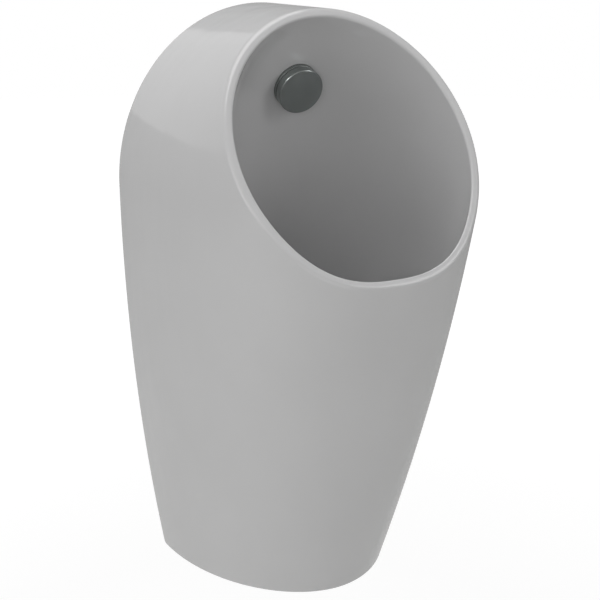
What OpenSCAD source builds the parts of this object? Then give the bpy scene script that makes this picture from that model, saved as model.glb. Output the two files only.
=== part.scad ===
// Wall hung urinal with a round tilted opening, a spray head and a trap inside its open skirt.
// The wall is the plane y = 0, the front faces -Y, and z = 0 is the lower edge of the skirt.
// All lengths are in millimetres.

/* [Ceramic body] */
// Width of the ceramic at its widest
body_w = 350; // [300:5:400]
// Height of the ceramic
body_h = 650; // [600:5:700]
// Drop from the top of the ceramic to its widest level
widest_drop = 194; // [170:2:220]
// Width of the lower edge
base_w = 270; // [240:5:300]
// Depth of the lower edge, from the wall
base_d = 195; // [185:5:230]
// Depth that the front line would reach at the full height
front_line_d = 385; // [350:5:420]
// Thickness of the skirt and of the bowl
wall_t = 9; // [8:0.5:11]
// Fullness of the D section at the lower edge, where 2 is an ellipse
base_fullness = 1.95; // [1.9:0.05:2.4]
// Fullness of the D section from the widest height up
upper_fullness = 2.6; // [2.4:0.05:2.8]

/* [Rim] */
// Distance of the top of the rim from the wall
rim_setback = 144; // [135:1:155]
// Tilt of the opening from upright, in degrees
rim_tilt = 32.4; // [30:0.2:34]
// Width of the rim
lip_w = 9.5; // [8:0.5:12]
// Rounding of the edges of the rim
lip_r = 3.6; // [2:0.2:3.9]

/* [Bowl] */
// Distance of the outlet from the wall
outlet_y = 122; // [112:1:130]
// Height of the edge of the sump
sump_z = 188; // [180:1:200]
// Radius of the sump, where the strainer lies
sump_r = 45; // [43:0.5:48]
// Depth of the sump
sump_depth = 8; // [6:0.5:10]
// Thickness of the floor of the sump
floor_t = 12; // [10:0.5:15]
// Diameter of the outlet hole
outlet_bore = 54; // [53:0.5:56]

/* [Spray head] */
// Drop from the top of the ceramic to the middle of the seat of the spray head
spray_drop = 84; // [78:1:92]
// Downward tilt of the spray head, in degrees
spray_tilt = 22; // [18:1:25]
// Diameter of the spray head
spray_d = 52; // [46:1:56]
// Thickness of the cap
cap_t = 9; // [8:0.2:10]
// Thickness of the flange behind the cap
flange_t = 5; // [4:0.2:6]
// Width of the slot that the water leaves by
slot_w = 1.2; // [0.8:0.1:2]
// Diameter of the threaded tail
tail_d = 21; // [19:0.5:22]
// Length of the tail behind its seat
tail_l = 44; // [40:1:50]
// Diameter of the waterway
waterway_d = 12; // [10:0.5:13]
// Thickness of the spray head's rubber seals
spray_seal_t = 2; // [1.5:0.25:3]

/* [Inlet] */
// Outer diameter of the inlet pipe
inlet_d = 15; // [13:0.5:16]
// Length of the inlet pipe behind the face of the wall
inlet_reach = 40; // [30:1:60]

/* [Waste and trap] */
// Outer radius of the flange of the waste
waste_flange_r = 41; // [40:0.5:42]
// Outer diameter of the tube of the waste
waste_tube_d = 51; // [50:0.5:52]
// Length of the tube of the waste
waste_tube_l = 56; // [54:1:60]
// Thickness of the waste's plastic walls
waste_wall = 2.6; // [2:0.2:3]
// Thickness of the waste's rubber gaskets
gasket_t = 1.6; // [1:0.2:3]
// Outer radius of the trap
trap_r = 42; // [40:0.5:46]
// Height of the underside of the trap
trap_z = 38; // [34:1:44]
// Height of the axis of the outlet pipe
outlet_z = 88; // [84:1:92]
// Outer diameter of the outlet pipe
outlet_d = 50; // [48:0.5:52]
// Length of the outlet pipe behind the face of the wall
outlet_reach = 45; // [30:1:60]
// Outer diameter of the dip tube in the trap
dip_d = 38; // [34:0.5:40]
// Height of the lower end of the dip tube
dip_z = 62; // [58:1:66]
// Highest point of the strainer above the floor of the sump
strainer_h = 12; // [10:0.5:15]
// Diameter of the holes in the strainer
strainer_hole_d = 5; // [4:0.25:5.5]

/* [Fixings] */
// Distance of the hanging studs from the widest level of the flanks
stud_inset = 80; // [75:2.5:85]
// Drop from the top of the ceramic to the hanging studs
stud_drop = 94; // [88:1:98]
// Diameter of the hanging studs
stud_d = 8; // [6:1:10]
// Length of the hanging studs in front of their plates
stud_l = 42; // [36:1:50]
// Thickness of the ceramic web that hangs on the studs
web_t = 12; // [10:1:16]
// Depth by which the web stands off the wall
web_recess = 6; // [5.5:0.5:8]
// Distance between the two wall screws of a plate
screw_spacing = 60; // [50:1:66]
// Diameter of the holes for the wall screws
screw_hole_d = 9; // [7:0.5:10]
// Thickness of the hanging plates
plate_t = 5; // [4:0.5:5]
// Width of the hanging plates
plate_w = 30; // [26:1:36]

/* [Hidden] */
$fn = 72;

// Clearance between pieces that are fitted without touching
fit_gap = 0.3;
// Overrun of every cut past the face that it leaves
over = 1;

// Number of stations round the ceramic, and of rows along each of its faces
stations = 72;
skin_rows = 13;
bowl_rows = 18;
back_rows = 10;
inner_rows = 7;
lip_rows = 4;
// Turn of the station that ends at the lower corner of the wall outline, in degrees
corner_turn = 130;
// Start and end of the bowl's lines, as shares of their length, and their fall at the sump
bowl_start_share = 0.85;
bowl_end_share = 0.45;
sump_fall_share = 0.17;
// How far the bowl's front lines turn down, where 1 is straight down
front_down_share = 0.9;
// Place where skirt and bowl part, as shares of their lines at the top, by turn and at the front
skin_part_shares = [0.16, 0.10, 0.16];
bowl_part_shares = [0.06, 0.10, 0.46];

widest_z = body_h - widest_drop;
rim_slope = tan(rim_tilt);
depth_slope = (front_line_d - base_d) / body_h;
rim_low_z = (rim_setback - base_d + body_h*rim_slope) / (depth_slope + rim_slope);
rim_out = [0, -cos(rim_tilt), sin(rim_tilt)];
sump_floor_z = sump_z - sump_depth;
outlet_under_z = sump_floor_z - floor_t;
// Hole that the closed net of the ceramic leaves for the outlet bore
core_r = outlet_bore/2 - 2*fit_gap;
collar_r = sump_r + wall_t/2;

function mix(a, b, t) = a + (b - a)*t;
function unit(v) = v / norm(v);
function side_of(turn) = sin(turn) < 0 ? -1 : 1;
function folded(turn) = let (t = (turn + 720) % 360) t > 180 ? 360 - t : t;

// Half width of the outline on the wall, and depth and fullness of the D section, at a height
function half_w(z) = z <= widest_z
    ? base_w/2 + (body_w - base_w)/2 * (1 - pow(1 - z/widest_z, 2))
    : body_w/2 * sqrt(max(0, 1 - pow((z - widest_z)/(body_h - widest_z), 2)));
function depth(z) = base_d + depth_slope*z;
function fullness(z) = mix(base_fullness, upper_fullness, 1 - pow(1 - min(1, z/widest_z), 2));
// Point of the D section at a height, swung from the wall, 0, to the front, 90
function section(z, swing, side) = [
    side*half_w(z)*pow(cos(swing), 2/fullness(z)),
    -depth(z)*pow(sin(swing), 2/fullness(z)),
    z];

// Where the tilted plane of the rim cuts the skin
function rim_z(turn) = mix(rim_low_z, body_h, (1 + cos(turn))/2);
function rim_swing(z) =
    asin(min(1, pow((rim_setback + (body_h - z)*rim_slope)/depth(z), fullness(z)/2)));
function rim(turn) = section(rim_z(turn), rim_swing(rim_z(turn)), side_of(turn));

// Height and swing of the skin's border: the outline on the wall, then the lower edge
flank_share = (body_h - widest_z)*PI/180*(corner_turn - 90)/widest_z;
function flank_drop(u) = flank_share*u + (1 - flank_share)*u*u;
function border_z(t) = t <= 90 ? mix(widest_z, body_h, cos(t))
    : t < corner_turn ? widest_z*(1 - flank_drop((t - 90)/(corner_turn - 90))) : 0;
function border_swing(t) = t <= corner_turn ? 0 : 90*(t - corner_turn)/(180 - corner_turn);

// Outer skin, from the rim, 0, to its border, 1
function skin(turn, v) = let (t = folded(turn), top = rim_z(t))
    section(mix(top, border_z(t), v), mix(rim_swing(top), border_swing(t), v), side_of(turn));
function skin_inward(turn, v) = let (a = max(0, v - 0.01), b = min(1, v + 0.01))
    unit(cross(skin(turn, b) - skin(turn, a), skin(turn + 1, v) - skin(turn - 1, v)));

// Inner edge of the rim
function rim_inward(turn) = unit(cross(rim(turn + 1) - rim(turn - 1), rim_out));
function rim_inner(turn) = rim(turn) + lip_w*rim_inward(turn);

// Bowl, from the inner edge of the rim, 0, to the edge of the sump, 1
function sump_edge(turn) = [sump_r*sin(turn), -outlet_y + sump_r*cos(turn), sump_z];
function bowl_heading(turn) = let (down = front_down_share*(1 - cos(turn))/2)
    unit(mix(-rim_out, [0, 0, -1], down));
function bowl(turn, v) = let (
    from = rim_inner(turn),
    to = sump_edge(turn),
    reach = norm(to - from),
    start = bowl_start_share*reach*bowl_heading(turn),
    end = bowl_end_share*reach*unit([-sin(turn), -cos(turn), -sump_fall_share]))
    from*(1 - v)*(1 - v)*(1 + 2*v) + start*v*(1 - v)*(1 - v)
    + to*v*v*(3 - 2*v) - end*v*v*(1 - v);
function bowl_outward(turn, v) = let (a = max(0, v - 0.01), b = min(1, v + 0.01))
    unit(cross(bowl(turn + 1, v) - bowl(turn - 1, v), bowl(turn, b) - bowl(turn, a)));

// Rounded edge between two points either side of a corner
function rounded(a, corner, b, rows) = [for (i = [0 : rows]) let (t = i/rows)
    a*(1 - t)*(1 - t) + corner*2*t*(1 - t) + b*t*t];
function start_share(line_start, line_next, step) = lip_r*step/norm(line_next - line_start);
function part_share(shares, turn) = let (c = (1 - cos(turn))/2)
    shares[0] + shares[1]*c + shares[2]*pow(c, 3);

// Inner face of the skirt, flat against the wall and at the lower edge
function skirt_inner(turn, v) = let (p = skin(turn, v) + wall_t*skin_inward(turn, v))
    v < 1 ? [p.x, min(p.y, 0), max(p.z, 0)]
    : folded(turn) < corner_turn ? [p.x, 0, p.z] : [p.x, p.y, 0];
function around_outlet(turn, r, z) = [r*sin(turn), -outlet_y + r*cos(turn), z];

// One closed line round the wall of the ceramic: skin, rim, bowl, sump, back of the bowl, skirt
function station(turn) = let (
    near = 0.01,
    skin_0 = start_share(skin(turn, 0), skin(turn, near), near),
    bowl_0 = start_share(bowl(turn, 0), bowl(turn, near), near),
    inward = rim_inward(turn),
    outer_edge = rim(turn),
    inner_edge = rim_inner(turn),
    skin_p = part_share(skin_part_shares, turn),
    bowl_p = part_share(bowl_part_shares, turn),
    last = 0.93)
    concat(
        [for (i = [0 : skin_rows - 1]) skin(turn, mix(1, skin_0, i/skin_rows))],
        rounded(skin(turn, skin_0), outer_edge, outer_edge + lip_r*inward, lip_rows),
        rounded(inner_edge - lip_r*inward, inner_edge, bowl(turn, bowl_0), lip_rows),
        [for (i = [1 : bowl_rows]) bowl(turn, mix(bowl_0, 1, i/bowl_rows))],
        [around_outlet(turn, sump_r - fit_gap, sump_floor_z),
         around_outlet(turn, core_r, sump_floor_z),
         around_outlet(turn, core_r, outlet_under_z),
         around_outlet(turn, collar_r, outlet_under_z)],
        [for (i = [0 : back_rows]) let (v = mix(last, bowl_p, i/back_rows))
            bowl(turn, v) + wall_t*bowl_outward(turn, v)],
        [for (i = [0 : inner_rows]) skirt_inner(turn, mix(skin_p, 1, i/inner_rows))]);

module ceramic_net() {
    rows = [for (i = [0 : stations - 1]) station(360*i/stations)];
    count = len(rows[0]);
    points = [for (row = rows) each row];
    faces = [for (i = [0 : stations - 1], j = [0 : count - 1])
        let (a = i*count, b = ((i + 1) % stations)*count, k = (j + 1) % count)
        each [[a + j, b + k, a + k], [a + j, b + j, b + k]]];
    polyhedron(points, faces, convexity = 6);
}

// Seat of the spray head, where the back of the bowl reaches its height
function bowl_share_at(z, a = 0, b = 0.6) = let (m = (a + b)/2)
    b - a < 0.0001 ? m : bowl(0, m).z > z ? bowl_share_at(z, m, b) : bowl_share_at(z, a, m);
spray_seat = bowl(0, bowl_share_at(body_h - spray_drop));
spray_r = spray_d/2;
tail_r = tail_d/2;
// Depth of the flat seats that are ground into the curved wall behind the spray head
spot_depth = 1.2;
back_seat = wall_t - spot_depth;
seal_r = 17;
flange_top = spray_seal_t + flange_t;
cap_base = flange_top + slot_w;
cap_wall = 3.4;
cap_edge = 0.8;
cap_hollow_r = spray_r - cap_wall;
spigot_r = waterway_d/2 + 2.6;
spigot_top = cap_base + cap_t - cap_wall - 0.8;
port_d = 2.4;
diffuser_t = 2.8;
backnut_t = 8;
backnut_r = 18;
thread_gap = 0.15;

// Puts its children on the axis of the spray head, with z = 0 on its seat and +z into the bowl
module at_spray() translate(spray_seat) rotate([90 + spray_tilt, 0, 0]) children();

module ring(r_out, r_in, z_low, z_high) {
    translate([0, 0, z_low]) difference() {
        cylinder(r = r_out, h = z_high - z_low);
        translate([0, 0, -over]) cylinder(r = r_in, h = z_high - z_low + 2*over);
    }
}

module hex_nut(r, bore_r, z_low, z_high) {
    translate([0, 0, z_low]) difference() {
        cylinder(r = r, h = z_high - z_low, $fn = 6);
        translate([0, 0, -over]) cylinder(r = bore_r, h = z_high - z_low + 2*over);
    }
}

module spray_cap() color("dimgray") at_spray() {
    top = cap_base + cap_t;
    rotate_extrude() polygon([
        [0, top], [spray_r - cap_edge, top], [spray_r, top - cap_edge], [spray_r, cap_base],
        [cap_hollow_r, cap_base], [cap_hollow_r, top - cap_wall], [0, top - cap_wall]]);
}

module spray_diffuser() color("gainsboro") at_spray()
    ring(cap_hollow_r, spigot_r + thread_gap, cap_base + over, cap_base + over + diffuser_t);

module spray_body() color("silver") at_spray() difference() {
    union() {
        translate([0, 0, spray_seal_t]) cylinder(r = spray_r, h = flange_t);
        translate([0, 0, -tail_l]) cylinder(r = tail_r, h = tail_l + spray_seal_t);
        translate([0, 0, flange_top]) cylinder(r = spigot_r, h = spigot_top - flange_top);
    }
    translate([0, 0, -tail_l - over])
        cylinder(d = waterway_d, h = tail_l + flange_top + over);
    for (i = [0 : 2]) rotate([0, 0, 90 + 45*(i - 1)]) translate([0, 0, flange_top + slot_w/2])
        rotate([0, -90, 0]) cylinder(d = port_d, h = 2*spigot_r, $fn = 16);
}

module spray_front_seal() color("dimgray") at_spray()
    ring(spray_r - over, tail_r + fit_gap, 0, spray_seal_t);

module spray_back_seal() color("dimgray") at_spray()
    ring(seal_r, tail_r + fit_gap, -back_seat - spray_seal_t, -back_seat);

module spray_backnut() color("goldenrod") at_spray()
    hex_nut(backnut_r, tail_r + thread_gap, -back_seat - spray_seal_t - backnut_t,
        -back_seat - spray_seal_t);

// Inlet pipe: a collar under the union nut, a forged elbow and a straight run into the wall
inlet_r = inlet_d/2;
inlet_wall = 1.5;
inlet_seal_t = 2;
inlet_collar_t = 3;
inlet_stub = 16;
inlet_nut_lip = 3;
inlet_nut_grip = 9;
pipe_start = -tail_l - inlet_seal_t;
elbow_swell = 2;
// Groove round each pipe that marks where it enters the wall
mark_w = 1;
mark_depth = 0.4;
elbow = spray_seat + (tail_l + inlet_seal_t + inlet_stub)*[0, cos(spray_tilt), sin(spray_tilt)];
inlet_axis_z = elbow.z;

module inlet_nut() color("goldenrod") at_spray() {
    low = pipe_start - inlet_collar_t - inlet_nut_lip;
    difference() {
        hex_nut(backnut_r, inlet_r + fit_gap, low, -tail_l + inlet_nut_grip);
        translate([0, 0, low + inlet_nut_lip])
            cylinder(r = tail_r + thread_gap, h = tail_l + tail_l);
    }
}

module inlet_seal() color("dimgray") at_spray()
    ring(tail_r - fit_gap, inlet_r - inlet_wall, pipe_start, -tail_l);

module inlet_run(r, ball_r, grow) {
    at_spray() translate([0, 0, pipe_start - inlet_stub]) cylinder(r = r, h = inlet_stub + grow);
    translate(elbow) sphere(r = ball_r);
    translate(elbow) rotate([-90, 0, 0]) cylinder(r = r, h = inlet_reach - elbow.y + grow);
}

module inlet_pipe() color("silver") difference() {
    union() {
        inlet_run(inlet_r, inlet_r + elbow_swell, 0);
        at_spray() translate([0, 0, pipe_start - inlet_collar_t])
            cylinder(r = tail_r - fit_gap, h = inlet_collar_t);
    }
    inlet_run(inlet_r - inlet_wall, inlet_r - inlet_wall + fit_gap, over);
    translate([0, 0, inlet_axis_z]) rotate([90, 0, 0]) ring(2*inlet_r, inlet_r - mark_depth, 0, mark_w);
}

// Web across the back of the ceramic, with its holes for the inlet and the studs
web_front = -web_recess - web_t;
stud_z = body_h - stud_drop;
stud_spacing = body_w - 2*stud_inset;
inlet_hole_r = inlet_r + 6;
stud_hole_r = stud_d/2 + 3;
web_low_z = stud_z - 28;
web_high_z = inlet_axis_z + inlet_hole_r + 12;
web_levels = 8;
function web_level(i) = mix(web_low_z, web_high_z, i/web_levels);

module ceramic_body() color("whitesmoke") difference() {
    union() {
        ceramic_net();
        translate([0, -web_recess, 0]) rotate([90, 0, 0]) linear_extrude(web_t) polygon([
            for (i = [0 : web_levels]) [half_w(web_level(i)) - wall_t/2, web_level(i)],
            for (i = [web_levels : -1 : 0]) [wall_t/2 - half_w(web_level(i)), web_level(i)]]);
    }
    translate([0, -outlet_y, outlet_under_z - over]) cylinder(d = outlet_bore, h = floor_t + 2*over);
    at_spray() {
        translate([0, 0, -2*wall_t]) cylinder(r = tail_r + 2*fit_gap, h = 3*wall_t);
        cylinder(r = spray_r + fit_gap, h = wall_t);
        translate([0, 0, -back_seat - wall_t]) cylinder(r = backnut_r + fit_gap, h = wall_t);
    }
    translate([0, web_front - over, inlet_axis_z]) rotate([-90, 0, 0])
        cylinder(r = inlet_hole_r, h = web_t + 2*over);
    for (side = [-1, 1]) translate([side*stud_spacing/2, web_front - over, stud_z])
        rotate([-90, 0, 0]) cylinder(r = stud_hole_r, h = web_t + 2*over);
}

collar_lip = 3;
module inlet_collar() color("dimgray") translate([0, -web_recess, inlet_axis_z])
    rotate([90, 0, 0]) {
        ring(inlet_hole_r, inlet_r + fit_gap, 0, web_t);
        ring(inlet_hole_r + collar_lip, inlet_r + fit_gap, web_t, web_t + collar_lip);
    }

// Waste: gasket, flange with its tube, lower gasket, washer and backnut, from the sump down
waste_r = waste_tube_d/2;
waste_bore_r = waste_r - waste_wall;
flange_z = sump_floor_z + gasket_t;
flange_top_z = flange_z + waste_wall;
insert_seat_t = 1.4;
insert_collar_r = 30;
washer_t = 1.2;
waste_washer_r = 39;
waste_nut_t = 10;
waste_nut_r = 34;
nut_lug = 3;
nut_lugs = 8;
washer_low_z = outlet_under_z - gasket_t - washer_t;

module at_outlet() translate([0, -outlet_y, 0]) children();

module waste_top_gasket() color("dimgray") at_outlet()
    ring(waste_flange_r - over, outlet_bore/2, sump_floor_z, flange_z);

module waste_flange() color("silver") at_outlet() difference() {
    union() {
        translate([0, 0, flange_z]) cylinder(r = waste_flange_r, h = waste_wall);
        translate([0, 0, flange_z - waste_tube_l])
            cylinder(r = waste_r, h = waste_tube_l + waste_wall);
    }
    translate([0, 0, flange_z - waste_tube_l - over])
        cylinder(r = waste_bore_r, h = waste_tube_l + waste_wall + 2*over);
    translate([0, 0, flange_top_z - insert_seat_t])
        cylinder(r = insert_collar_r + fit_gap, h = waste_wall);
}

module waste_bottom_gasket() color("dimgray") at_outlet()
    ring(waste_washer_r, waste_r + fit_gap, outlet_under_z - gasket_t, outlet_under_z);

module waste_washer() color("silver") at_outlet()
    ring(waste_washer_r, waste_r + fit_gap, washer_low_z, outlet_under_z - gasket_t);

module lugged_nut(r, bore_r, z_low, z_high) difference() {
    union() {
        translate([0, 0, z_low]) cylinder(r = r, h = z_high - z_low);
        for (i = [0 : nut_lugs - 1]) rotate([0, 0, 360*i/nut_lugs])
            translate([r - over, -nut_lug, z_low]) cube([nut_lug + over, 2*nut_lug, z_high - z_low]);
    }
    translate([0, 0, z_low - over]) cylinder(r = bore_r, h = z_high - z_low + 2*over);
}

module waste_backnut() color("white") at_outlet()
    lugged_nut(waste_nut_r, waste_r + thread_gap, washer_low_z - waste_nut_t, washer_low_z);

// Strainer: a shallow dome with rings of holes, a rim that stands on the flange and a knob
strainer_r = 38;
strainer_t = 1.6;
strainer_top_z = sump_floor_z + strainer_h;
strainer_rise = strainer_top_z - flange_top_z - strainer_t;
dome_r = (strainer_r*strainer_r + strainer_rise*strainer_rise) / (2*strainer_rise);
hole_ring_shares = [0.32, 0.54, 0.76];
holes_in_first_ring = 6;
knob_r = 6;
knob_h = 7;
knob_shank_r = 2.5;

module dome(r, z) intersection() {
    translate([0, 0, strainer_top_z - z - r]) sphere(r = r);
    translate([0, 0, flange_top_z + strainer_t]) cylinder(r = strainer_r, h = strainer_h);
}

module strainer() color("silver") at_outlet() difference() {
    union() {
        difference() {
            dome(dome_r, 0);
            dome(dome_r, strainer_t);
        }
        ring(strainer_r, strainer_r - 2*strainer_t, flange_top_z, flange_top_z + 1.2*strainer_t);
    }
    for (k = [0 : len(hole_ring_shares) - 1], i = [0 : holes_in_first_ring*(k + 1) - 1])
        rotate([0, 0, 360*i/(holes_in_first_ring*(k + 1))])
            translate([strainer_r*hole_ring_shares[k], 0, flange_top_z])
                cylinder(d = strainer_hole_d, h = strainer_h, $fn = 24);
    translate([0, 0, flange_top_z]) cylinder(r = knob_shank_r + thread_gap, h = strainer_h);
}

module strainer_knob() color("silver") at_outlet() {
    translate([0, 0, strainer_top_z - strainer_t - knob_shank_r])
        cylinder(r = knob_shank_r, h = strainer_t + knob_shank_r + over);
    translate([0, 0, strainer_top_z]) rotate_extrude() polygon([
        [0, 0], [knob_r - over, 0], [knob_r, over], [knob_r, knob_h - 2*over],
        [knob_r - 2*over, knob_h], [0, knob_h]]);
}

// Insert of the trap: a collar in the flange, a dip tube and a grooved band with its ring
dip_r = dip_d/2;
insert_wall = 1.8;
band_r = waste_bore_r - 2*fit_gap;
band_low_z = flange_z - 34;
band_h = 10;
insert_ring_r = 1.25;
insert_groove_r = band_r - 2;

module trap_insert() color("white") at_outlet() difference() {
    union() {
        translate([0, 0, flange_top_z - insert_seat_t]) cylinder(r = insert_collar_r, h = insert_seat_t);
        translate([0, 0, dip_z]) cylinder(r = dip_r, h = flange_top_z - dip_z);
        difference() {
            translate([0, 0, band_low_z]) cylinder(r = band_r, h = band_h);
            ring(waste_r, insert_groove_r, band_low_z + band_h/2 - insert_ring_r - fit_gap/2,
                band_low_z + band_h/2 + insert_ring_r + fit_gap/2);
        }
    }
    translate([0, 0, dip_z - over]) cylinder(r = dip_r - insert_wall, h = flange_top_z - dip_z + 2*over);
}

module insert_seal() color("dimgray") at_outlet() translate([0, 0, band_low_z + band_h/2])
    rotate_extrude() translate([insert_groove_r + insert_ring_r, 0]) circle(r = insert_ring_r);

// Trap: a cup with a neck for the waste tube and a socket for the outlet pipe
trap_wall = 3;
neck_r = waste_r + 6;
neck_z = flange_z - waste_tube_l + 19;
cup_top_z = outlet_z + outlet_d/2 + 5;
socket_r = outlet_d/2 + 5.5;
branch_r = outlet_d/2 - 3;
socket_l = 32;
branch_l = 18;
socket_start_y = trap_r + branch_l;
outlet_wall = 2;
seal_groove_w = 6;
seal_groove_t = 2.5;
seal_groove_in = 8;
plug_r = 15;
plug_head_r = 20;
plug_head_t = 8;
plug_seal_t = 1.6;
trap_nut_r = 36;
trap_nut_lip = 3;
trap_nut_h = 18;
trap_seal_t = 3;

module along_outlet(from, r, length) translate([0, from, outlet_z]) rotate([-90, 0, 0])
    cylinder(r = r, h = length);

module trap_body() color("white") at_outlet() difference() {
    union() {
        translate([0, 0, trap_z]) cylinder(r = trap_r, h = cup_top_z - trap_z);
        translate([0, 0, cup_top_z - over]) cylinder(r = neck_r, h = neck_z - cup_top_z + over);
        along_outlet(0, branch_r, socket_start_y + over);
        along_outlet(socket_start_y, socket_r, socket_l + trap_wall);
    }
    translate([0, 0, trap_z + trap_wall])
        cylinder(r = trap_r - trap_wall, h = cup_top_z - trap_z - 2*trap_wall);
    translate([0, 0, cup_top_z - trap_wall - over]) cylinder(r = waste_bore_r, h = neck_z);
    translate([0, 0, flange_z - waste_tube_l]) cylinder(r = waste_r + fit_gap, h = neck_z);
    along_outlet(0, branch_r - outlet_wall, socket_start_y + 2*trap_wall);
    along_outlet(socket_start_y + trap_wall, outlet_d/2 + fit_gap, socket_l + over);
    along_outlet(socket_start_y + trap_wall + socket_l - seal_groove_in - seal_groove_w,
        outlet_d/2 + seal_groove_t, seal_groove_w);
    translate([0, 0, trap_z - over]) cylinder(r = plug_r + thread_gap, h = trap_wall + 2*over);
}

module trap_nut() color("white") at_outlet() {
    top = neck_z + trap_seal_t + trap_nut_lip;
    difference() {
        lugged_nut(trap_nut_r, waste_r + fit_gap, top - trap_nut_h, top);
        translate([0, 0, top - trap_nut_h - over])
            cylinder(r = neck_r + thread_gap, h = trap_nut_h - trap_nut_lip + over);
    }
}

module trap_nut_seal() color("dimgray") at_outlet()
    ring(neck_r - fit_gap, waste_r + thread_gap, neck_z, neck_z + trap_seal_t);

module cleaning_plug() color("white") at_outlet() {
    translate([0, 0, trap_z - plug_seal_t]) cylinder(r = plug_r, h = plug_seal_t + trap_wall + over);
    difference() {
        translate([0, 0, trap_z - plug_seal_t - plug_head_t]) cylinder(r = plug_head_r, h = plug_head_t);
        translate([0, 0, trap_z - plug_seal_t - plug_head_t - over])
            cylinder(r = plug_r - 2*trap_wall, h = plug_head_t - trap_wall + over, $fn = 6);
    }
}

module plug_seal() color("dimgray") at_outlet()
    ring(plug_head_r - over, plug_r + thread_gap, trap_z - plug_seal_t, trap_z);

module outlet_pipe() color("lightgray") at_outlet() difference() {
    along_outlet(socket_start_y + trap_wall, outlet_d/2,
        outlet_y + outlet_reach - socket_start_y - trap_wall);
    along_outlet(socket_start_y, outlet_d/2 - outlet_wall, 2*outlet_y);
    translate([0, outlet_y, outlet_z]) rotate([90, 0, 0])
        ring(outlet_d, outlet_d/2 - mark_depth, 0, mark_w);
}

module outlet_seal() color("dimgray") at_outlet() difference() {
    along_outlet(socket_start_y + trap_wall + socket_l - seal_groove_in - seal_groove_w + thread_gap,
        outlet_d/2 + seal_groove_t - thread_gap, seal_groove_w - 2*thread_gap);
    along_outlet(socket_start_y, outlet_d/2, 2*outlet_y);
}

outlet_collar_t = 8;
outlet_collar_rim = 9;
module outlet_collar() color("dimgray") difference() {
    along_outlet(-outlet_collar_t, outlet_d/2 + outlet_collar_rim, outlet_collar_t - mark_w);
    along_outlet(-2*outlet_collar_t, outlet_d/2, 3*outlet_collar_t);
}

// Wall plates with their studs, and what holds the web on the studs
plate_end = 15;
plate_drop = 14;
stud_r = stud_d/2;
bush_rim_r = 11;
bush_rim_t = 2.5;
stud_washer_t = 1.6;
stud_washer_r = 12;
stud_nut_t = 6.5;
stud_nut_r = 7.6;
bush_front = -web_front + bush_rim_t;

module hanger_plate(side) color("silver") difference() {
    translate([side*stud_spacing/2, 0, stud_z - plate_drop])
        translate([-plate_w/2, -plate_t, -screw_spacing/2 - plate_end])
            cube([plate_w, plate_t, screw_spacing + 2*plate_end]);
    translate([side*stud_spacing/2, -plate_t - over, stud_z - plate_drop])
        for (end = [-1, 1]) translate([0, 0, end*screw_spacing/2])
            rotate([-90, 0, 0]) cylinder(d = screw_hole_d, h = plate_t + 2*over);
}

module hanger_plate_left() hanger_plate(-1);
module hanger_plate_right() hanger_plate(1);

// Puts its children on both studs, with +z away from the wall
module at_studs() for (side = [-1, 1])
    translate([side*stud_spacing/2, 0, stud_z]) rotate([90, 0, 0]) children();

module hanger_studs() color("silver") at_studs() translate([0, 0, plate_t])
    rotate_extrude() polygon([
        [0, 0], [stud_r, 0], [stud_r, stud_l - over], [stud_r - over, stud_l], [0, stud_l]]);

module stud_bushes() color("white") at_studs() {
    ring(stud_hole_r - thread_gap, stud_r + thread_gap, web_recess, -web_front + over/2);
    ring(bush_rim_r, stud_r + thread_gap, -web_front, bush_front);
}

module hanger_washers() color("silver") at_studs()
    ring(stud_washer_r, stud_r + thread_gap, bush_front, bush_front + stud_washer_t);

module hanger_nuts() color("silver") at_studs()
    hex_nut(stud_nut_r, stud_r + thread_gap, bush_front + stud_washer_t,
        bush_front + stud_washer_t + stud_nut_t);

ceramic_body();
spray_cap();
spray_diffuser();
spray_body();
spray_front_seal();
spray_back_seal();
spray_backnut();
inlet_nut();
inlet_seal();
inlet_pipe();
inlet_collar();
waste_flange();
waste_top_gasket();
waste_bottom_gasket();
waste_washer();
waste_backnut();
strainer();
strainer_knob();
trap_insert();
insert_seal();
trap_nut();
trap_nut_seal();
trap_body();
cleaning_plug();
plug_seal();
outlet_pipe();
outlet_seal();
outlet_collar();
hanger_plate_left();
hanger_plate_right();
hanger_studs();
stud_bushes();
hanger_washers();
hanger_nuts();
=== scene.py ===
import math

import bmesh
import bpy
from mathutils import Matrix, Vector


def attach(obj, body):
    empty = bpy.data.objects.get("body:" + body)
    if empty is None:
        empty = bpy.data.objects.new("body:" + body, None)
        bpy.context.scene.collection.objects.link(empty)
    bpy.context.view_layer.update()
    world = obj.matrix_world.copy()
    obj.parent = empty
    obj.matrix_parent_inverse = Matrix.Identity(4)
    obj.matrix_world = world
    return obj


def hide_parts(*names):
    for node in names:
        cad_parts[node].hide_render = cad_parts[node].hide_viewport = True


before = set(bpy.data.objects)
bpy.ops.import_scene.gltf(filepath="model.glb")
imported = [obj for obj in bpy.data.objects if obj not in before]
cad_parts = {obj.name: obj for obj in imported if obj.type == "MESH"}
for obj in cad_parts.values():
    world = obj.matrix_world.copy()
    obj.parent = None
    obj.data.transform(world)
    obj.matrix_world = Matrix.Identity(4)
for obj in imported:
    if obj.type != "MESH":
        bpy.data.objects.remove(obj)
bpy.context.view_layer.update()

# Camera: stands left of the front and a little above the rim, as the photograph was taken.
# Its distance and lens come from a fit to the outline and to both edges of the rim.
camera_azimuth = math.radians(-27.699)
camera_elevation = math.radians(16.4845)
camera_distance = 1.32704
camera_target = Vector((-0.024225, -0.150, 0.338709))
photo_side = 600
pixels_per_metre = 910.33833
camera_back = Vector((
    math.sin(camera_azimuth) * math.cos(camera_elevation),
    -math.cos(camera_azimuth) * math.cos(camera_elevation),
    math.sin(camera_elevation)))
camera_data = bpy.data.cameras.new("photo_camera")
camera_data.sensor_width = 36
camera_data.lens = camera_data.sensor_width * pixels_per_metre * camera_distance / photo_side
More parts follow.
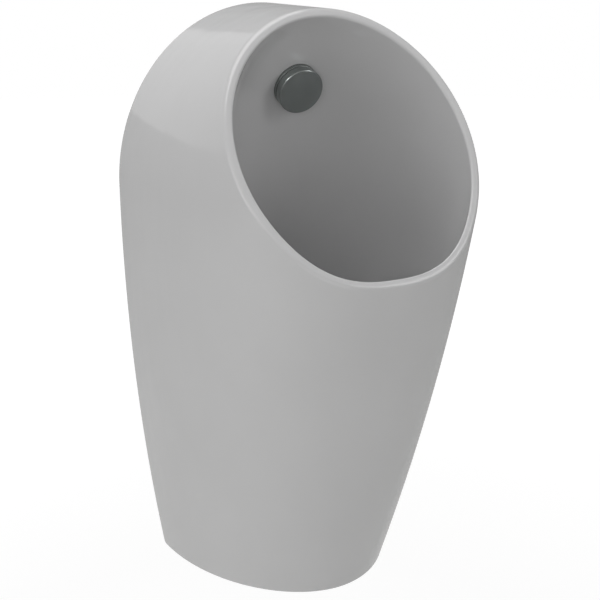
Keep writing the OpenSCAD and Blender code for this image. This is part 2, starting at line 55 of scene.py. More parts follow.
camera = bpy.data.objects.new("photo_camera", camera_data)
camera.location = camera_target + camera_distance * camera_back
camera.rotation_euler = (math.pi / 2 - camera_elevation, 0, camera_azimuth)
bpy.context.scene.collection.objects.link(camera)
bpy.context.scene.camera = camera


# Studio: a pale matt floor below the hanging urinal, and soft lamps from above, from both sides,
# from low in front and from behind on the left. What the camera sees behind is plain white. The
# glaze mirrors it at a third of that strength and less on the right, as in a room dim at its sides.
floor_z = -0.42
floor_r = 8.0
floor_tones = ((0.78, 0.78, 0.77, 1), (0.80, 0.80, 0.79, 1))
dim_tone = (0.35, 0.35, 0.35, 1)
near_glow = (0.75, 0.75, 0.75, 1)
far_glow = (0.96, 0.96, 0.96, 1)
mirrored_share = 0.32
mirrored_fall = 0.24
glow_from = 0.8
glow_to = 2.6
fall_from = 0.1
fall_to = 0.8
sky_strength = 0.20
lamp_aim = Vector((0, -0.15, 0.35))


class Wire:
    """One output of a shader node. Sums on it add Math nodes to the same material."""

    def __init__(self, tree, socket=None):
        self.tree = tree
        self.socket = socket

    def add(self, kind, settings=None, inputs=None, output=0):
        """Adds a node: first its settings, then a value or a link for each of its inputs."""
        node = self.tree.nodes.new("ShaderNode" + kind)
        for name, value in (settings or {}).items():
            setattr(node, name, value)
        for name, value in (inputs or {}).items():
            if isinstance(value, Wire):
                self.tree.links.new(value.socket, node.inputs[name])
            else:
                node.inputs[name].default_value = value
        return Wire(self.tree, node.outputs[output] if node.outputs else None)

    def sum(self, operation, first, second, clamp=False):
        return self.add("Math", {"operation": operation, "use_clamp": clamp}, {0: first, 1: second})

    def __add__(self, other):
        return self.sum("ADD", self, other)

    __radd__ = __add__

    def __sub__(self, other):
        return self.sum("SUBTRACT", self, other)

    def __rsub__(self, other):
        return self.sum("SUBTRACT", other, self)

    def __mul__(self, other):
        return self.sum("MULTIPLY", self, other)

    __rmul__ = __mul__

    def held(self, low, high):
        """This value, spread from low..high to 0..1 and kept there."""
        return self.add("MapRange", {}, {0: self, 1: low, 2: high})

    def blend(self, first, second):
        """A colour between two colours, with this value as the share of the second."""
        return self.add("Mix", {"data_type": "RGBA"}, {0: self, 6: first, 7: second}, 2)


def new_finish(name):
    """A new material, and the wire that its nodes are added with."""
    finish = bpy.data.materials.new(name)
    finish.use_nodes = True
    finish.node_tree.nodes.clear()
    return finish, Wire(finish.node_tree)


def seen_directly(wire):
    """1 for what the camera sees itself or through glass, 0 for light, and a share in a mirror."""
    ways = ("Is Camera Ray", "Is Glossy Ray", "Is Transmission Ray")
    camera_ray, glossy_ray, clear_ray = (wire.add("LightPath", output=way) for way in ways)
    to_the_right = wire.add("SeparateXYZ", {}, {"Vector": wire.add("TexCoord", output="Object")})
    mirrored = mirrored_share - mirrored_fall * to_the_right.held(fall_from, fall_to)
    return wire.sum("ADD", camera_ray + mirrored * glossy_ray, clear_ray, clamp=True)


floor_finish, wire = new_finish("studio_floor")
floor_cloud = wire.add("TexNoise", {}, {
    "Vector": wire.add("TexCoord", output="Object"), "Scale": 3.0, "Detail": 3.0})
floor_matt = wire.add("BsdfDiffuse", {}, {"Color": floor_cloud.blend(*floor_tones)})
floor_dim = wire.add("BsdfDiffuse", {}, {"Color": dim_tone})
floor_reach = wire.add("VectorMath", {"operation": "LENGTH"}, {
    0: wire.add("TexCoord", output="Object")}, 1)
floor_glow = wire.add("Emission", {}, {
    "Color": floor_reach.held(glow_from, glow_to).blend(near_glow, far_glow)})
floor_shown = wire.add("AddShader", {}, {0: floor_dim, 1: floor_glow})
floor_top = wire.add("MixShader", {}, {0: seen_directly(wire), 1: floor_matt, 2: floor_shown})
floor_under = wire.add("BsdfTransparent")
wire.add("OutputMaterial", {}, {"Surface": wire.add("MixShader", {}, {
    0: wire.add("NewGeometry", output="Backfacing"), 1: floor_top, 2: floor_under})})
bm = bmesh.new()
bmesh.ops.create_circle(bm, cap_ends=True, segments=96, radius=floor_r)
bmesh.ops.translate(bm, vec=(0, 0, floor_z), verts=bm.verts)
floor_mesh = bpy.data.meshes.new("studio_floor")
bm.to_mesh(floor_mesh)
bm.free()
floor_mesh.materials.append(floor_finish)
floor = bpy.data.objects.new("studio_floor", floor_mesh)
bpy.context.scene.collection.objects.link(floor)

sky = bpy.data.worlds.new("studio_sky")
sky.use_nodes = True
sky.node_tree.nodes.clear()
wire = Wire(sky.node_tree)
sky_soft = wire.add("Background", {}, {"Color": (1, 1, 1, 1), "Strength": sky_strength})
sky_white = wire.add("Background", {}, {"Color": (1, 1, 1, 1), "Strength": 1.0})
wire.add("OutputWorld", {}, {"Surface": wire.add("MixShader", {}, {
    0: seen_directly(wire), 1: sky_soft, 2: sky_white})})
bpy.context.scene.world = sky
bpy.context.scene.view_settings.view_transform = "Standard"

for name, place, width, height, power in (
        ("lamp_left", (-2.6, -0.6, 0.8), 1.8, 1.8, 21),
        ("lamp_left_front", (-1.8, -2.4, 1.2), 1.8, 0.5, 8.5),
        ("lamp_right_front", (2.0, -2.3, 1.6), 1.4, 1.4, 15.5),
        ("lamp_low_front", (-0.3, -2.6, -0.2), 1.8, 1.8, 9.3),
        ("lamp_top", (0.0, -0.2, 2.6), 1.8, 1.8, 31),
        ("lamp_behind", (-1.25, 2.15, 1.6), 3.2, 1.5, 6.5)):
    lamp_data = bpy.data.lights.new(name, "AREA")
    lamp_data.shape = "RECTANGLE"
    lamp_data.size = width
    lamp_data.size_y = height
    lamp_data.energy = power
    lamp = bpy.data.objects.new(name, lamp_data)
    lamp.location = place
    lamp.rotation_euler = (lamp_aim - lamp.location).to_track_quat("-Z", "Y").to_euler()
    lamp.visible_camera = False
    bpy.context.scene.collection.objects.link(lamp)


# Ceramic body: one casting of vitreous china, cast hollow in a plaster mould, glazed and fired.
# Skirt and bowl are two walls that join at the rim, and a web across the open back carries it.
# The glaze is a pale neutral grey, while the inside of the skirt stays bare and matt.
body_w = 0.350
body_h = 0.650
widest_z = 0.456
base_w = 0.270
base_d = 0.195
front_line_d = 0.385
wall = 0.009
base_fullness = 1.95
upper_fullness = 2.6
rim_setback = 0.144
rim_tilt = math.radians(32.4)
lip_w = 0.0095
lip_r = 0.0036
outlet_y = 0.122
sump_z = 0.188
sump_r = 0.045
sump_floor_z = 0.180
outlet_under_z = 0.168
outlet_r = 0.027
collar_r = sump_r + wall / 2
corner_turn = math.radians(130)
corner_before = math.radians(0.26)
corner_after = math.radians(0.82)
corner_z = 0.005
corner_swing = math.radians(1.47)
bowl_start = 0.85
bowl_end = 0.45
sump_fall = 0.17
front_down = 0.9
edge_r = 0.0026
inner_edge_r = 0.0015
sump_lip_r = 0.003
sump_corner_r = 0.0025
outlet_edge_r = 0.001
collar_edge_r = 0.002
skin_part_shares = (0.16, 0.10, 0.16)
bowl_part_shares = (0.06, 0.10, 0.46)
crotch_share = 0.30
low_back_share = 0.93
skin_rows = 36
bowl_rows = 46
back_rows = 26
inner_rows = 20
v_step = 0.01
turn_step = math.radians(1)
weld_reach = 1e-7
sharp_angle = math.radians(34)
overcut = 0.001
rim_slope = math.tan(rim_tilt)
depth_slope = (front_line_d - base_d) / body_h
rim_low_z = (rim_setback - base_d + body_h * rim_slope) / (depth_slope + rim_slope)
rim_out = Vector((0, -math.cos(rim_tilt), math.sin(rim_tilt)))


def mix(a, b, t):
    return a + (b - a) * t


def half_width(z):
    """Half the width of the outline on the wall, at a height."""
    if z <= widest_z:
        return base_w / 2 + (body_w - base_w) / 2 * (1 - (1 - z / widest_z) ** 2)
    return body_w / 2 * math.sqrt(max(0.0, 1 - ((z - widest_z) / (body_h - widest_z)) ** 2))


def fullness(z):
    return mix(base_fullness, upper_fullness, 1 - (1 - min(1.0, z / widest_z)) ** 2)


def section(z, swing, side):
    """Point of the D section at a height, swung from the wall, 0, to the front, a quarter turn."""
    power = 2 / fullness(z)
    return Vector((
        side * half_width(z) * max(0.0, math.cos(swing)) ** power,
        -(base_d + depth_slope * z) * max(0.0, math.sin(swing)) ** power,
        z))


def side_of(turn):
    return -1 if math.sin(turn) < 0 else 1


def folded(turn):
    turn = turn % math.tau
    return math.tau - turn if turn > math.pi else turn


def rim_z(turn):
    return mix(rim_low_z, body_h, (1 + math.cos(turn)) / 2)


def rim_swing(z):
    reach = (rim_setback + (body_h - z) * rim_slope) / (base_d + depth_slope * z)
    return math.asin(min(1.0, reach ** (fullness(z) / 2)))


def rim(turn):
    """Outer edge of the rim, where its tilted plane cuts the skin."""
    return section(rim_z(turn), rim_swing(rim_z(turn)), side_of(turn))


def border(t):
    """Height and swing of the skin's border: down the wall, round the corner, along the base."""
    if t <= math.pi / 2:
        return mix(widest_z, body_h, math.cos(t)), 0.0
    if corner_turn - corner_before < t < corner_turn + corner_after:
        u = (t - corner_turn + corner_before) / (corner_before + corner_after)
        return corner_z * (1 - u) ** 2, corner_swing * u ** 2
    if t < corner_turn:
        u = (t - math.pi / 2) / (corner_turn - math.pi / 2)
        share = (body_h - widest_z) * (corner_turn - math.pi / 2) / widest_z
        return widest_z * (1 - share * u - (1 - share) * u * u), 0.0
    return 0.0, math.pi / 2 * (t - corner_turn) / (math.pi - corner_turn)


def skin(turn, v):
    """Outer skin, from the rim, 0, to its border, 1."""
    t = folded(turn)
    top = rim_z(t)
    low_z, low_swing = border(t)
    return section(mix(top, low_z, v), mix(rim_swing(top), low_swing, v), side_of(turn))


def facing(surface, turn, v):
    """Which way a surface faces: into the wall for the skin, into the hollow for the bowl."""
    a = max(0.0, v - v_step)
    b = min(1.0, v + v_step)
    across = surface(turn + turn_step, v) - surface(turn - turn_step, v)
    return (surface(turn, b) - surface(turn, a)).cross(across).normalized()


def rim_inward(turn):
    return (rim(turn + turn_step) - rim(turn - turn_step)).cross(rim_out).normalized()


def bowl(turn, v):
    """Bowl, from the inner edge of the rim, 0, to the edge of the sump, 1."""
    start = rim(turn) + lip_w * rim_inward(turn)
    finish = Vector((sump_r * math.sin(turn), -outlet_y + sump_r * math.cos(turn), sump_z))
    reach = (finish - start).length
    down = front_down * (1 - math.cos(turn)) / 2
    leave = (-rim_out).lerp(Vector((0, 0, -1)), down).normalized() * bowl_start * reach
    arrive = Vector((-math.sin(turn), -math.cos(turn), -sump_fall)).normalized() * bowl_end * reach
    return (start * (1 - v) ** 2 * (1 + 2 * v) + leave * v * (1 - v) ** 2
            + finish * v * v * (3 - 2 * v) - arrive * v * v * (1 - v))


def bowl_back(turn, v):
    return bowl(turn, v) - wall * facing(bowl, turn, v)


def rounded(a, corner, b, rows):
    """Points of a rounded edge between two points either side of a corner."""
    shares = [i / rows for i in range(rows + 1)]
    return [a * (1 - t) ** 2 + corner * 2 * t * (1 - t) + b * t * t for t in shares]


def part_share(shares, turn):
    """Place where skirt and bowl part, as a share of their lines."""
    c = (1 - math.cos(turn)) / 2
    return shares[0] + shares[1] * c + shares[2] * c ** 3


def skirt_inner(turn, v):
    p = skin(turn, v) + wall * facing(skin, turn, v)
    t = folded(turn)
    if v < 1 or corner_turn - corner_before < t < corner_turn + corner_after:
        return Vector((p.x, min(p.y, 0.0), max(p.z, 0.0)))
    return Vector((p.x, 0.0, p.z)) if t < corner_turn else Vector((p.x, p.y, 0.0))


def round_outlet(turn, r, z):
    return Vector((r * math.sin(turn), -outlet_y + r * math.cos(turn), z))


def end_share(surface, turn, length, end):
    """Share that a length takes of a surface's line, at its start, 0, or at its end, 1."""
    near = abs(end - v_step)
    return length * v_step / (surface(turn, near) - surface(turn, end)).length


def station(turn):
    """One closed line round the wall of the casting, and the rows where bare china starts."""
    skin_0 = end_share(skin, turn, lip_r, 0)
    skin_1 = 1 - end_share(skin, turn, edge_r, 1)
    bowl_0 = end_share(bowl, turn, lip_r, 0)
    bowl_1 = 1 - end_share(bowl, turn, sump_lip_r, 1)
    inner_1 = 1 - end_share(skirt_inner, turn, inner_edge_r, 1)
    outer_border = skin(turn, 1)
    inner_border = skirt_inner(turn, 1)
    across = (inner_border - outer_border).normalized()
    outer_lip = rim(turn)
    inward = rim_inward(turn)
    inner_lip = outer_lip + lip_w * inward
    skin_p = part_share(skin_part_shares, turn)
    bowl_p = part_share(bowl_part_shares, turn)
    high_back = bowl_back(turn, bowl_p)
    low_back = bowl_back(turn, low_back_share)
    skirt_front = skirt_inner(turn, skin_p)
    crotch = ((high_back + skirt_front) / 2).lerp(inner_lip, crotch_share)
    line = rounded(outer_border + edge_r * across, outer_border, skin(turn, skin_1), 4)
    line += [skin(turn, mix(skin_1, skin_0, i / skin_rows)) for i in range(1, skin_rows)]
    line += rounded(skin(turn, skin_0), outer_lip, outer_lip + lip_r * inward, 6)
    line += rounded(inner_lip - lip_r * inward, inner_lip, bowl(turn, bowl_0), 6)
    line += [bowl(turn, mix(bowl_0, bowl_1, i / bowl_rows)) for i in range(1, bowl_rows)]
    line += rounded(bowl(turn, bowl_1), bowl(turn, 1), round_outlet(turn, sump_r, sump_z - sump_lip_r), 4)
    line += rounded(round_outlet(turn, sump_r, sump_floor_z + sump_corner_r),
                    round_outlet(turn, sump_r, sump_floor_z),
                    round_outlet(turn, sump_r - sump_corner_r, sump_floor_z), 4)
    line += rounded(round_outlet(turn, outlet_r + outlet_edge_r, sump_floor_z),
                    round_outlet(turn, outlet_r, sump_floor_z),
                    round_outlet(turn, outlet_r, sump_floor_z - outlet_edge_r), 3)
    glazed = len(line)
    line += rounded(round_outlet(turn, outlet_r, outlet_under_z + outlet_edge_r),
                    round_outlet(turn, outlet_r, outlet_under_z),
                    round_outlet(turn, outlet_r + outlet_edge_r, outlet_under_z), 2)
    line += rounded(round_outlet(turn, collar_r - collar_edge_r, outlet_under_z),
                    round_outlet(turn, collar_r, outlet_under_z),
                    round_outlet(turn, collar_r, outlet_under_z).lerp(low_back, 0.25), 3)
    line += [bowl_back(turn, mix(low_back_share, bowl_p, i / back_rows)) for i in range(back_rows)]
    line += rounded(high_back, crotch, skirt_front, 6)
    line += [skirt_inner(turn, mix(skin_p, inner_1, i / inner_rows)) for i in range(1, inner_rows)]
    line += rounded(skirt_inner(turn, inner_1), inner_border,
                    inner_border - inner_edge_r * across, 3)
    return line, glazed


turns = [math.radians(1.5 * i) for i in range(240)]
for middle in (corner_turn, math.tau - corner_turn):
    side = 1 if middle < math.pi else -1
    turns += [middle + side * mix(-corner_before, corner_after, i / 8) for i in range(9)]
    turns += [middle + side * math.radians(a) for a in (-1.1, -0.6, 1.2)]
turns = sorted(t for t in turns if abs(folded(t) - corner_turn) > 1e-9)
lines = [station(turn) for turn in turns]
glazed_rows = lines[0][1]
rows = [[line[0][i] for line in lines] for i in range(len(lines[0][0]))]


def lofted(rows, finish_of=lambda number: 0, around=False):
    """A skin through closed rows of points, with flat ends or closed round on itself."""
    bm = bmesh.new()
    place_in_row = bm.verts.layers.int.new("place_in_row")
    bmesh.ops.create_circle(bm, segments=len(rows[0]), radius=1, cap_ends=not around)
    bm.verts.ensure_lookup_table()
    for i, v in enumerate(bm.verts):
        v[place_in_row] = i
        v.co = rows[0][i]
    ring = bm.edges[:]
    for number, row in enumerate(rows[1:] + (rows[:1] if around else [])):
        made = bmesh.ops.extrude_edge_only(bm, edges=ring)["geom"]
        for v in made:
            if isinstance(v, bmesh.types.BMVert):
                v.co = row[v[place_in_row]]
        for face in made:
            if isinstance(face, bmesh.types.BMFace):
                face.material_index = finish_of(number)
        ring = [edge for edge in made if isinstance(edge, bmesh.types.BMEdge)]
    if not around:
        bmesh.ops.edgeloop_fill(bm, edges=ring)
    bm.verts.layers.int.remove(place_in_row)
    bmesh.ops.remove_doubles(bm, verts=bm.verts, dist=weld_reach)
    bmesh.ops.recalc_face_normals(bm, faces=bm.faces)
    return bm


def eased(outline):
    """Places along an outline of corners, each a radius, a height and the length of its rounding."""
    line = []
    for i, (r, z, ease) in enumerate(outline):
        corner = Vector((r, 0, z))
        before = Vector((outline[i - 1][0], 0, outline[i - 1][1]))
        after = Vector((outline[(i + 1) % len(outline)][0], 0, outline[(i + 1) % len(outline)][1]))
        if ease:
            line += rounded(corner + (before - corner).normalized() * ease, corner,
                            corner + (after - corner).normalized() * ease, 3)
        else:
            line.append(corner)
    return line


def turned(outline, steps=96, finish=0):
    """A solid turned round Z from an outline."""
    line = eased(outline)
    bm = bmesh.new()
    verts = [bm.verts.new(place) for place in line]
    for a, b in zip(verts, verts[1:]):
        bm.edges.new((a, b))
    if line[0].x > 0:
        bm.edges.new((verts[-1], verts[0]))
    bmesh.ops.spin(bm, geom=bm.verts[:] + bm.edges[:], cent=(0, 0, 0), axis=(0, 0, 1),
                   angle=math.tau, steps=steps, use_merge=True)
    bmesh.ops.remove_doubles(bm, verts=bm.verts, dist=weld_reach)
    bmesh.ops.recalc_face_normals(bm, faces=bm.faces)
    for face in bm.faces:
        face.material_index = finish
    return bm


def rod(r, low, high, steps, finish=0):
    """A plain round bar, for a hole."""
    return turned([(0, low, 0), (r, low, 0), (r, high, 0), (0, high, 0)], steps, finish)


def gathered(*parts):
    """One bmesh that holds several solids, each put in its place."""
    whole = bmesh.new()
    for bm, place in parts:
        bm.transform(place)
        mesh = bpy.data.meshes.new("gathered")
        bm.to_mesh(mesh)
        bm.free()
        whole.from_mesh(mesh)
        bpy.data.meshes.remove(mesh)
    return whole


def combined(operation, first, *others, finishes=()):
    """Joins solids to the first one, cuts them out of it, or keeps what they share."""
    things = []
    for bm in (first, *others):
        mesh = bpy.data.meshes.new("combined")
        bm.to_mesh(mesh)
        bm.free()
        for finish in finishes:
            mesh.materials.append(finish)
        things.append(bpy.data.objects.new("combined", mesh))
        bpy.context.scene.collection.objects.link(things[-1])
    for other in things[1:]:
        change = things[0].modifiers.new("change", "BOOLEAN")
        change.operation = operation
        change.object = other
    result = bmesh.new()
    result.from_object(things[0], bpy.context.evaluated_depsgraph_get())
    for thing in things:
        mesh = thing.data
        bpy.data.objects.remove(thing)
        bpy.data.meshes.remove(mesh)
    return result


glaze, wire = new_finish("pale_glaze")
spot = wire.add("TexCoord", output="Object")
pool = wire.add("TexNoise", {}, {"Vector": spot, "Scale": 7.0, "Detail": 2.0})
peel = wire.add("TexNoise", {}, {"Vector": spot, "Scale": 120.0, "Detail": 2.0})
run = wire.add("TexNoise", {}, {
    "Vector": wire.add("Mapping", {}, {"Vector": spot, "Scale": (1, 1, 0.22)}),
    "Scale": 26.0,
    "Detail": 1.5})
wire.add("OutputMaterial", {}, {"Surface": wire.add("BsdfPrincipled", {}, {
    "Base Color": pool.held(0.3, 0.7).blend((0.555, 0.554, 0.557, 1), (0.575, 0.574, 0.577, 1)),
    "Roughness": 0.06 + 0.05 * pool,
    "IOR": 1.5,
    "Normal": wire.add("Bump", {}, {"Strength": 0.5, "Distance": 0.0014, "Height": 0.035 * peel + run})})})

bare_china, wire = new_finish("bare_china")
spot = wire.add("TexCoord", output="Object")
blotch = wire.add("TexNoise", {}, {"Vector": spot, "Scale": 14.0, "Detail": 5.0})
tooth = wire.add("TexNoise", {}, {"Vector": spot, "Scale": 1500.0, "Detail": 2.0})
wire.add("OutputMaterial", {}, {"Surface": wire.add("BsdfPrincipled", {}, {
    "Base Color": blotch.held(0.35, 0.7).blend((0.60, 0.585, 0.55, 1), (0.52, 0.505, 0.47, 1)),
    "Roughness": 0.62 + 0.2 * tooth,
    "Normal": wire.add("Bump", {}, {"Strength": 0.35, "Distance": 0.0002, "Height": tooth})})})


def new_object(name, bm, *finishes, place=Matrix()):
    """Makes an object at the origin of a bmesh moved to its place, and gives it its finishes."""
    bm.transform(place)
    mesh = bpy.data.meshes.new(name)
    bm.to_mesh(mesh)
    bm.free()
    for finish in finishes:
        mesh.materials.append(finish)
    mesh.shade_smooth()
    mesh.set_sharp_from_angle(angle=sharp_angle)
    thing = bpy.data.objects.new(name, mesh)
    bpy.context.scene.collection.objects.link(thing)
    weighted = thing.modifiers.new("even_shading", "WEIGHTED_NORMAL")
    weighted.keep_sharp = True
    return thing


web_front = 0.018
web_back = 0.006
web_fillet = 0.005
web_edge_r = 0.003
stud_x = 0.095
stud_z = 0.556
stud_hole_r = 0.007
inlet_hole_r = 0.0135
spray_drop = 0.084
spray_tilt = math.radians(22)
tail_l = 0.044
elbow_reach = 0.018
tail_hole_r = 0.0111
front_seat_r = 0.0263
back_seat_r = 0.0183
back_seat = 0.0078
web_below = 0.028
web_above = 0.012
web_drill_end = 0.024


def bowl_share_at(z):
    """Share of the bowl's hindmost line at which it passes a height."""
    low, high = 0.0, 0.6
    for i in range(30):
        middle = (low + high) / 2
        low, high = (middle, high) if bowl(0, middle).z > z else (low, middle)
    return low


spray_seat = bowl(0, bowl_share_at(body_h - spray_drop))
spray_place = Matrix.Translation(spray_seat) @ Matrix.Rotation(math.pi / 2 + spray_tilt, 4, "X")
elbow = spray_place @ Vector((0, 0, -tail_l - elbow_reach))
web_low_z = stud_z - web_below
web_high_z = elbow.z + inlet_hole_r + web_above


def web_row(z, inset):
    """Closed line round the web at a height, thicker where it meets the skirt on either side."""
    reach = half_width(z) - wall
    bends = [math.radians(16 * i) for i in range(5, -1, -1)]
    flare = [(reach - web_fillet * (1 - math.sin(a)), web_fillet * (1 - math.cos(a))) for a in bends]
    flare = [(reach + wall / 2, flare[0][1])] + flare
    front = [Vector((x, -web_front + inset - f, z)) for x, f in flare]
    back = [Vector((x, -web_back - inset + f, z)) for x, f in flare]
    mirror = Vector((-1, 1, 1))
    return front + [p * mirror for p in front[::-1]] + [p * mirror for p in back] + back[::-1]


def web_end(edge_z, inward):
    """Rows of the web's rounded edge, from the level part out to the edge."""
    bends = [math.radians(30 * i) for i in range(4)]
    return [web_row(edge_z + inward * web_edge_r * (1 - math.sin(a)), web_edge_r * (1 - math.cos(a)))
            for a in bends]


web_rows = web_end(web_low_z, 1)[::-1]
web_rows += [web_row(mix(web_low_z + web_edge_r, web_high_z - web_edge_r, i / 12), 0) for i in range(1, 12)]
web_rows += web_end(web_high_z, -1)
spool = turned([
    (0, -back_seat - wall, 0), (back_seat_r, -back_seat - wall, 0), (back_seat_r, -back_seat, 0),
    (tail_hole_r, -back_seat, 0), (tail_hole_r, 0, 0), (front_seat_r, 0, 0),
    (front_seat_r, wall, 0), (0, wall, 0)], 64, 1)
away_from_wall = Matrix.Rotation(math.pi / 2, 4, "X")
drills = [(spool, spray_place)]
for r, x, z in ((inlet_hole_r, 0, elbow.z), (stud_hole_r, stud_x, stud_z), (stud_hole_r, -stud_x, stud_z)):
    drills.append((rod(r, overcut, web_drill_end, 48, 1), Matrix.Translation((x, 0, z)) @ away_from_wall))
china_bm = lofted(rows, lambda number: 0 if 1 < number < glazed_rows else 1, around=True)
china_bm = combined("UNION", china_bm, lofted(web_rows, lambda number: 1), finishes=(glaze, bare_china))
china_bm = combined("DIFFERENCE", china_bm, gathered(*drills), finishes=(glaze, bare_china))
china_body = new_object("china_body", china_bm, glaze, bare_china)
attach(china_body, "urinal")
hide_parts("ceramic_body")


# Spray head: a plated brass body through the bowl's back wall, clamped by a nut behind it, and a
# plated cap that pulls off. Water leaves by the slot behind the cap. Rubber seals sit on both
# faces of the china, and a plastic ring inside the cap spreads the water and grips the spigot.
spray_r = 0.026
spray_seal_t = 0.002
flange_top = 0.007
cap_base = 0.0082
cap_top = 0.0172
cap_wall = 0.0034
cap_chamfer = 0.0008
tail_r = 0.0105
tail_pitch = 0.001814
tail_thread_depth = 0.0009
tail_chamfer = 0.0012
waterway_r = 0.006
spigot_r = 0.0086
spigot_top = 0.013
back_seal_r = 0.017
backnut_r = 0.018
backnut_t = 0.008
thread_gap = 0.00015
fit_gap = 0.0003
spreader_inset = 0.001
spreader_t = 0.0028
groove_count = 24
groove_size = (0.012, 0.0012, 0.0044)
groove_middle_r = 0.018
port_r = 0.0012
port_start = 0.0035
nut_round = 0.0005


def grain(wire, scale, detail=2.0, stretch=(1, 1, 1)):
    """Noise in the object's own space, drawn out along an axis where asked."""
    place = wire.add("Mapping", {}, {"Vector": wire.add("TexCoord", output="Object"), "Scale": stretch})
    return wire.add("TexNoise", {}, {"Vector": place, "Scale": scale, "Detail": detail})


def new_metal(name, clean, dulled, roughness, marks=(1, 1, 1), depth=0.00002):
    """A metal with faint marks of its making, and dulled in clouds."""
    finish, wire = new_finish(name)
    cloud = grain(wire, 30.0, 4.0)
    scratch = grain(wire, 900.0, 3.0, marks)
    wire.add("OutputMaterial", {}, {"Surface": wire.add("BsdfPrincipled", {}, {
        "Base Color": cloud.held(0.35, 0.75).blend(clean, dulled),
        "Metallic": 1.0,
        "Roughness": roughness + 0.10 * cloud + 0.05 * scratch,
        "Normal": wire.add("Bump", {}, {"Strength": 0.3, "Distance": depth, "Height": scratch})})})
    return finish


def new_polymer(name, plain, shaded, roughness, depth=0.00003):
    """A moulded plastic or rubber with a fine skin and a little uneven colour."""
    finish, wire = new_finish(name)
    cloud = grain(wire, 22.0, 4.0)
    skin_grain = grain(wire, 1600.0)
    wire.add("OutputMaterial", {}, {"Surface": wire.add("BsdfPrincipled", {}, {
        "Base Color": cloud.held(0.35, 0.75).blend(plain, shaded),
        "Roughness": roughness + 0.12 * cloud,
        "Normal": wire.add("Bump", {}, {"Strength": 0.3, "Distance": depth, "Height": skin_grain})})})
    return finish


# The spray head's plating is coloured darker than bright chrome. This is painted shade that stands for the
# dark surroundings it mirrors.
plating_painted_dark = new_metal("plating_painted_dark", (0.34, 0.366, 0.356, 1), (0.29, 0.313, 0.306, 1), 0.13)
turned_brass = new_metal("turned_brass", (0.62, 0.44, 0.19, 1), (0.47, 0.32, 0.14, 1), 0.24)
black_rubber = new_polymer("black_rubber", (0.022, 0.022, 0.023, 1), (0.034, 0.033, 0.032, 1), 0.58)
grey_plastic = new_polymer("grey_moulding", (0.19, 0.20, 0.205, 1), (0.16, 0.165, 0.17, 1), 0.42)


def thread_rows(r, low, high, pitch):
    """Fine corners along a cylinder, eight to each turn of a thread."""
    count = round(8 * (high - low) / pitch)
    return [(r, mix(low, high, i / count), 0) for i in range(count + 1)]


def cut_thread(bm, r, low, high, pitch, depth):
    """Presses a thread into the fine rows between two heights, fading out at both ends."""
    for v in bm.verts:
        if math.hypot(v.co.x, v.co.y) > r - 1e-6 and low < v.co.z < high:
            phase = (v.co.z / pitch - math.atan2(v.co.y, v.co.x) / math.tau) % 1
            tooth = min(1.0, max(0.0, 1.3 * abs(2 * phase - 1) - 0.15))
            fade = min(1.0, (v.co.z - low) / pitch, (high - v.co.z) / pitch)
            share = 1 - depth * tooth * fade / r
            v.co = (v.co.x * share, v.co.y * share, v.co.z)


def washer(outer_r, inner_r, low, high, ease=0.0003, steps=96):
    return turned([
        (inner_r, low, ease), (outer_r, low, ease), (outer_r, high, ease), (inner_r, high, ease)], steps)


def hexagon(r, low, high):
    """A six-sided bar with a corner on the X axis."""
    bm = bmesh.new()
    place = Matrix.Translation((0, 0, (low + high) / 2)) @ Matrix.Rotation(math.pi / 6, 4, "Z")
    bmesh.ops.create_cone(
        bm, cap_ends=True, segments=6, radius1=r, radius2=r, depth=high - low, matrix=place)
    return bm


def hex_nut(r, bore, low, high):
    """A hexagon with its corners turned off at both ends, round a bore outline of corners."""
    flat = r * math.cos(math.pi / 6)
    point = r + nut_round
    fall = (point - flat) * math.tan(math.radians(30))
    disc = turned(bore + [
        (flat, high, 0), (point, high - fall, 0), (point, low + fall, 0), (flat, low, 0)], 96)
    return combined("INTERSECT", disc, hexagon(r, low - overcut, high + overcut))


cap_bm = turned([
    (0, cap_top, 0), (spray_r - cap_chamfer, cap_top, 0.0002), (spray_r, cap_top - cap_chamfer, 0.0002),
    (spray_r, cap_base, 0.0003), (spray_r - cap_wall, cap_base, 0.0003),
    (spray_r - cap_wall, cap_top - cap_wall, 0.0006), (0, cap_top - cap_wall, 0)], 144)
nozzle_cap = new_object("nozzle_cap", cap_bm, plating_painted_dark, place=spray_place)
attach(nozzle_cap, "cap")
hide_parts("spray_cap")

spreader_low = cap_base + spreader_inset
spreader_high = spreader_low + spreader_t
spreader_bm = turned([
    (spigot_r + thread_gap, spreader_low, 0.0003), (spray_r - cap_wall, spreader_low, 0.0002),
    (spray_r - cap_wall, spreader_high, 0.0002), (spigot_r + thread_gap, spreader_high, 0.0003)], 96)
grooves = []
groove_spot = Matrix.Translation((groove_middle_r, 0, cap_base)) @ Matrix.Diagonal((*groove_size, 1))
for i in range(groove_count):
    groove = bmesh.new()
    bmesh.ops.create_cube(groove, size=1, matrix=groove_spot)
    grooves.append((groove, Matrix.Rotation(math.tau * i / groove_count, 4, "Z")))
spreader_bm = combined("DIFFERENCE", spreader_bm, gathered(*grooves))
water_spreader = new_object("water_spreader", spreader_bm, grey_plastic, place=spray_place)
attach(water_spreader, "cap")
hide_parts("spray_diffuser")

